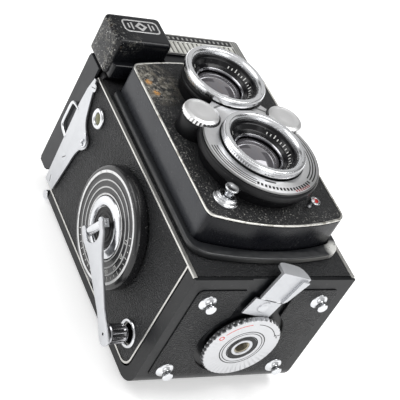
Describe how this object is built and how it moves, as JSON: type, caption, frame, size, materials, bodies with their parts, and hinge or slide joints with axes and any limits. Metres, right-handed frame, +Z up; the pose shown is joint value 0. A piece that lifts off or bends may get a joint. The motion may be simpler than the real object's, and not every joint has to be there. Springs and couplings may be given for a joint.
{
  "type": "twin lens reflex camera",
  "caption": "Medium format roll film camera with a viewing lens above a taking lens, a folding waist level hood, a fold-out winding crank and a hinged back.",
  "frame": {"origin": "on the surface that the four feet stand on, at the middle of the camera's bounding box", "axes": "+Z up along the body's height, the lenses look along -Y, +X to the right of someone facing the lenses"},
  "size_m": [0.101, 0.0993, 0.136],
  "materials": {
    "enamel": "satin black enamel",
    "satin_grey": "satin dark grey enamel",
    "leather": "fine pebbled leatherette",
    "aluminium": "bright trim",
    "chrome": "polished",
    "matte_chrome": "satin",
    "black": "matt black lacquer",
    "black_plastic": "matt black",
    "glass": "coated optical glass",
    "mirror": "front silvered",
    "screen": "ground glass",
    "cell": "ribbed clear window over a light cell"
  },
  "bodies": {
    "body": {"body_casing": "enamel", "front_plate": "leather", "front_collar": "enamel", "side_cover_left": "aluminium", "side_cover_right": "aluminium", "reflex_mirror": "mirror", "focusing_screen": "screen", "meter_box": "enamel", "forehead": "enamel", "nameplate": "matte_chrome", "meter_cell": "cell", "crank_disc": "black", "crank_dock": "aluminium", "counter_window": "chrome", "strap_plate_left": "matte_chrome", "strap_plate_right": "matte_chrome", "hinge_pin": "chrome", "hood_base": "black"},
    "lens_board": {"lens_board": "enamel", "board_trim": "aluminium", "board_leather": "leather", "viewing_barrel": "black", "viewing_ring": "chrome", "viewing_glass": "glass", "shutter_housing": "black", "shutter_face": "matte_chrome", "taking_ring": "chrome", "taking_glass": "glass", "release_guard": "matte_chrome", "sync_socket": "chrome"},
    "release_button": {"release_button": "chrome"},
    "aperture_wheel": {"aperture_wheel": "matte_chrome"},
    "speed_wheel": {"speed_wheel": "matte_chrome"},
    "sync_lever": {"sync_lever": "matte_chrome"},
    "focus_knob": {"focus_knob": "matte_chrome"},
    "crank_hub": {"crank_hub": "chrome"},
    "crank_arm": {"crank_arm": "matte_chrome"},
    "crank_handle": {"crank_handle": "chrome"},
    "takeup_spool": {"takeup_spool": "black_plastic"},
    "film_roller": {"film_roller": "chrome"},
    "spool_knob_upper": {"spool_knob_upper": "matte_chrome"},
    "spool_knob_lower": {"spool_knob_lower": "matte_chrome"},
    "meter_needle": {"meter_needle": "black"},
    "back_door": {"back_door": "enamel", "back_leather": "leather", "bottom_leather": "leather", "foot_front_left": "chrome", "foot_front_right": "chrome", "foot_back_left": "chrome", "foot_back_right": "chrome", "tripod_socket": "aluminium"},
    "pressure_plate": {"pressure_plate": "black"},
    "latch_dial": {"latch_dial": "matte_chrome"},
    "latch_arm": {"latch_arm": "chrome"},
    "latch_hook": {"latch_hook": "chrome"},
    "hood_lid": {"hood_lid": "satin_grey"},
    "hood_side_left": {"hood_side_left": "enamel"},
    "hood_side_right": {"hood_side_right": "enamel"},
    "hood_back": {"hood_back": "enamel"},
    "magnifier": {"magnifier": "black_plastic"}
  },
  "joints": [
    {"name": "lens_board_slide", "type": "slide", "parent": "body", "child": "lens_board", "axis": [0, -1, 0], "range_m": [0, 0.008]},
    {"name": "focus_knob_turn", "type": "hinge", "parent": "body", "child": "focus_knob", "pos_m": [0.045, 0.0072, 0.0504], "axis": [1, 0, 0], "range_deg": [0, 251]},
    {"name": "release_press", "type": "slide", "parent": "lens_board", "child": "release_button", "axis": [0, 1, 0], "range_m": [0, 0.0018], "stiffness_N_per_m": 300},
    {"name": "aperture_wheel_turn", "type": "hinge", "parent": "lens_board", "child": "aperture_wheel", "pos_m": [-0.0206, -0.0458, 0.0694], "axis": [0, -1, 0], "range_deg": [-70, 70]},
    {"name": "speed_wheel_turn", "type": "hinge", "parent": "lens_board", "child": "speed_wheel", "pos_m": [0.0206, -0.0458, 0.0694], "axis": [0, -1, 0], "range_deg": [-110, 110]},
    {"name": "sync_lever_shift", "type": "hinge", "parent": "lens_board", "child": "sync_lever", "pos_m": [0, -0.0388, 0.0509], "axis": [0, 1, 0], "range_deg": [0, 22]},
    {"name": "crank_turn", "type": "hinge", "parent": "body", "child": "crank_hub", "pos_m": [-0.044, 0.0102, 0.0588], "axis": [1, 0, 0], "range_deg": [0, 200]},
    {"name": "crank_fold", "type": "hinge", "parent": "crank_hub", "child": "crank_arm", "pos_m": [-0.0482, 0.0102, 0.0588], "axis": [0, 0.8755, 0.4833], "range_deg": [0, 180]},
    {"name": "crank_handle_spin", "type": "hinge", "parent": "crank_arm", "child": "crank_handle", "pos_m": [-0.045, 0.03127, 0.02063], "axis": [1, 0, 0], "continuous": true},
    {"name": "takeup_spool_turn", "type": "hinge", "parent": "body", "child": "takeup_spool", "pos_m": [0, 0.0277, 0.0884], "axis": [1, 0, 0], "range_deg": [0, 201]},
    {"name": "film_roller_turn", "type": "hinge", "parent": "body", "child": "film_roller", "pos_m": [0, 0.0368, 0.013], "axis": [1, 0, 0], "continuous": true},
    {"name": "spool_knob_upper_pull", "type": "slide", "parent": "body", "child": "spool_knob_upper", "axis": [1, 0, 0], "range_m": [0, 0.006]},
    {"name": "spool_knob_lower_pull", "type": "slide", "parent": "body", "child": "spool_knob_lower", "axis": [1, 0, 0], "range_m": [0, 0.006]},
    {"name": "meter_needle_swing", "type": "hinge", "parent": "body", "child": "meter_needle", "pos_m": [-0.0252, -0.0284, 0.1341], "axis": [0, 0, 1], "range_deg": [-35, 35]},
    {"name": "back_door_open", "type": "hinge", "parent": "body", "child": "back_door", "pos_m": [0, 0.0476, 0.1142], "axis": [1, 0, 0], "range_deg": [0, 110]},
    {"name": "pressure_plate_float", "type": "slide", "parent": "back_door", "child": "pressure_plate", "axis": [0, 1, 0], "range_m": [0, 0.001], "stiffness_N_per_m": 300},
    {"name": "latch_dial_turn", "type": "hinge", "parent": "back_door", "child": "latch_dial", "pos_m": [0, 0.017, 0.0024], "axis": [0, 0, 1], "range_deg": [0, 90]},
    {"name": "latch_arm_slide", "type": "slide", "parent": "back_door", "child": "latch_arm", "axis": [0.2419, -0.9703, 0], "range_m": [0, 0.0015]},
    {"name": "latch_hook_tilt", "type": "hinge", "parent": "latch_arm", "child": "latch_hook", "pos_m": [0.00081, -0.00965, 0.0032], "axis": [0.9703, 0.2419, 0], "range_deg": [0, 60]},
    {"name": "hood_lid_open", "type": "hinge", "parent": "body", "child": "hood_lid", "pos_m": [0, -0.021, 0.13], "axis": [1, 0, 0], "range_deg": [0, 90]},
    {"name": "hood_side_left_fold", "type": "hinge", "parent": "body", "child": "hood_side_left", "pos_m": [-0.036, 0.0102, 0.1218], "axis": [0, -1, 0], "range_deg": [0, 91]},
    {"name": "hood_side_right_fold", "type": "hinge", "parent": "body", "child": "hood_side_right", "pos_m": [0.036, 0.0102, 0.1218], "axis": [0, 1, 0], "range_deg": [0, 91]},
    {"name": "hood_back_fold", "type": "hinge", "parent": "body", "child": "hood_back", "pos_m": [0, 0.0392, 0.1238], "axis": [-1, 0, 0], "range_deg": [0, 91]},
    {"name": "magnifier_swing", "type": "hinge", "parent": "hood_lid", "child": "magnifier", "pos_m": [0, 0.0106, 0.127], "axis": [-1, 0, 0], "range_deg": [0, 91]}
  ],
  "couplings": [
    {"joint": "focus_knob_turn", "follows": "lens_board_slide", "rad_per_m": 545.42},
    {"joint": "takeup_spool_turn", "follows": "crank_turn", "ratio": 1},
    {"joint": "latch_arm_slide", "follows": "latch_dial_turn", "m_per_rad": 0.000954},
    {"joint": "hood_side_left_fold", "follows": "hood_lid_open", "ratio": 1},
    {"joint": "hood_side_right_fold", "follows": "hood_lid_open", "ratio": 1},
    {"joint": "hood_back_fold", "follows": "hood_lid_open", "ratio": 1},
    {"joint": "magnifier_swing", "follows": "hood_lid_open", "ratio": 1}
  ]
}
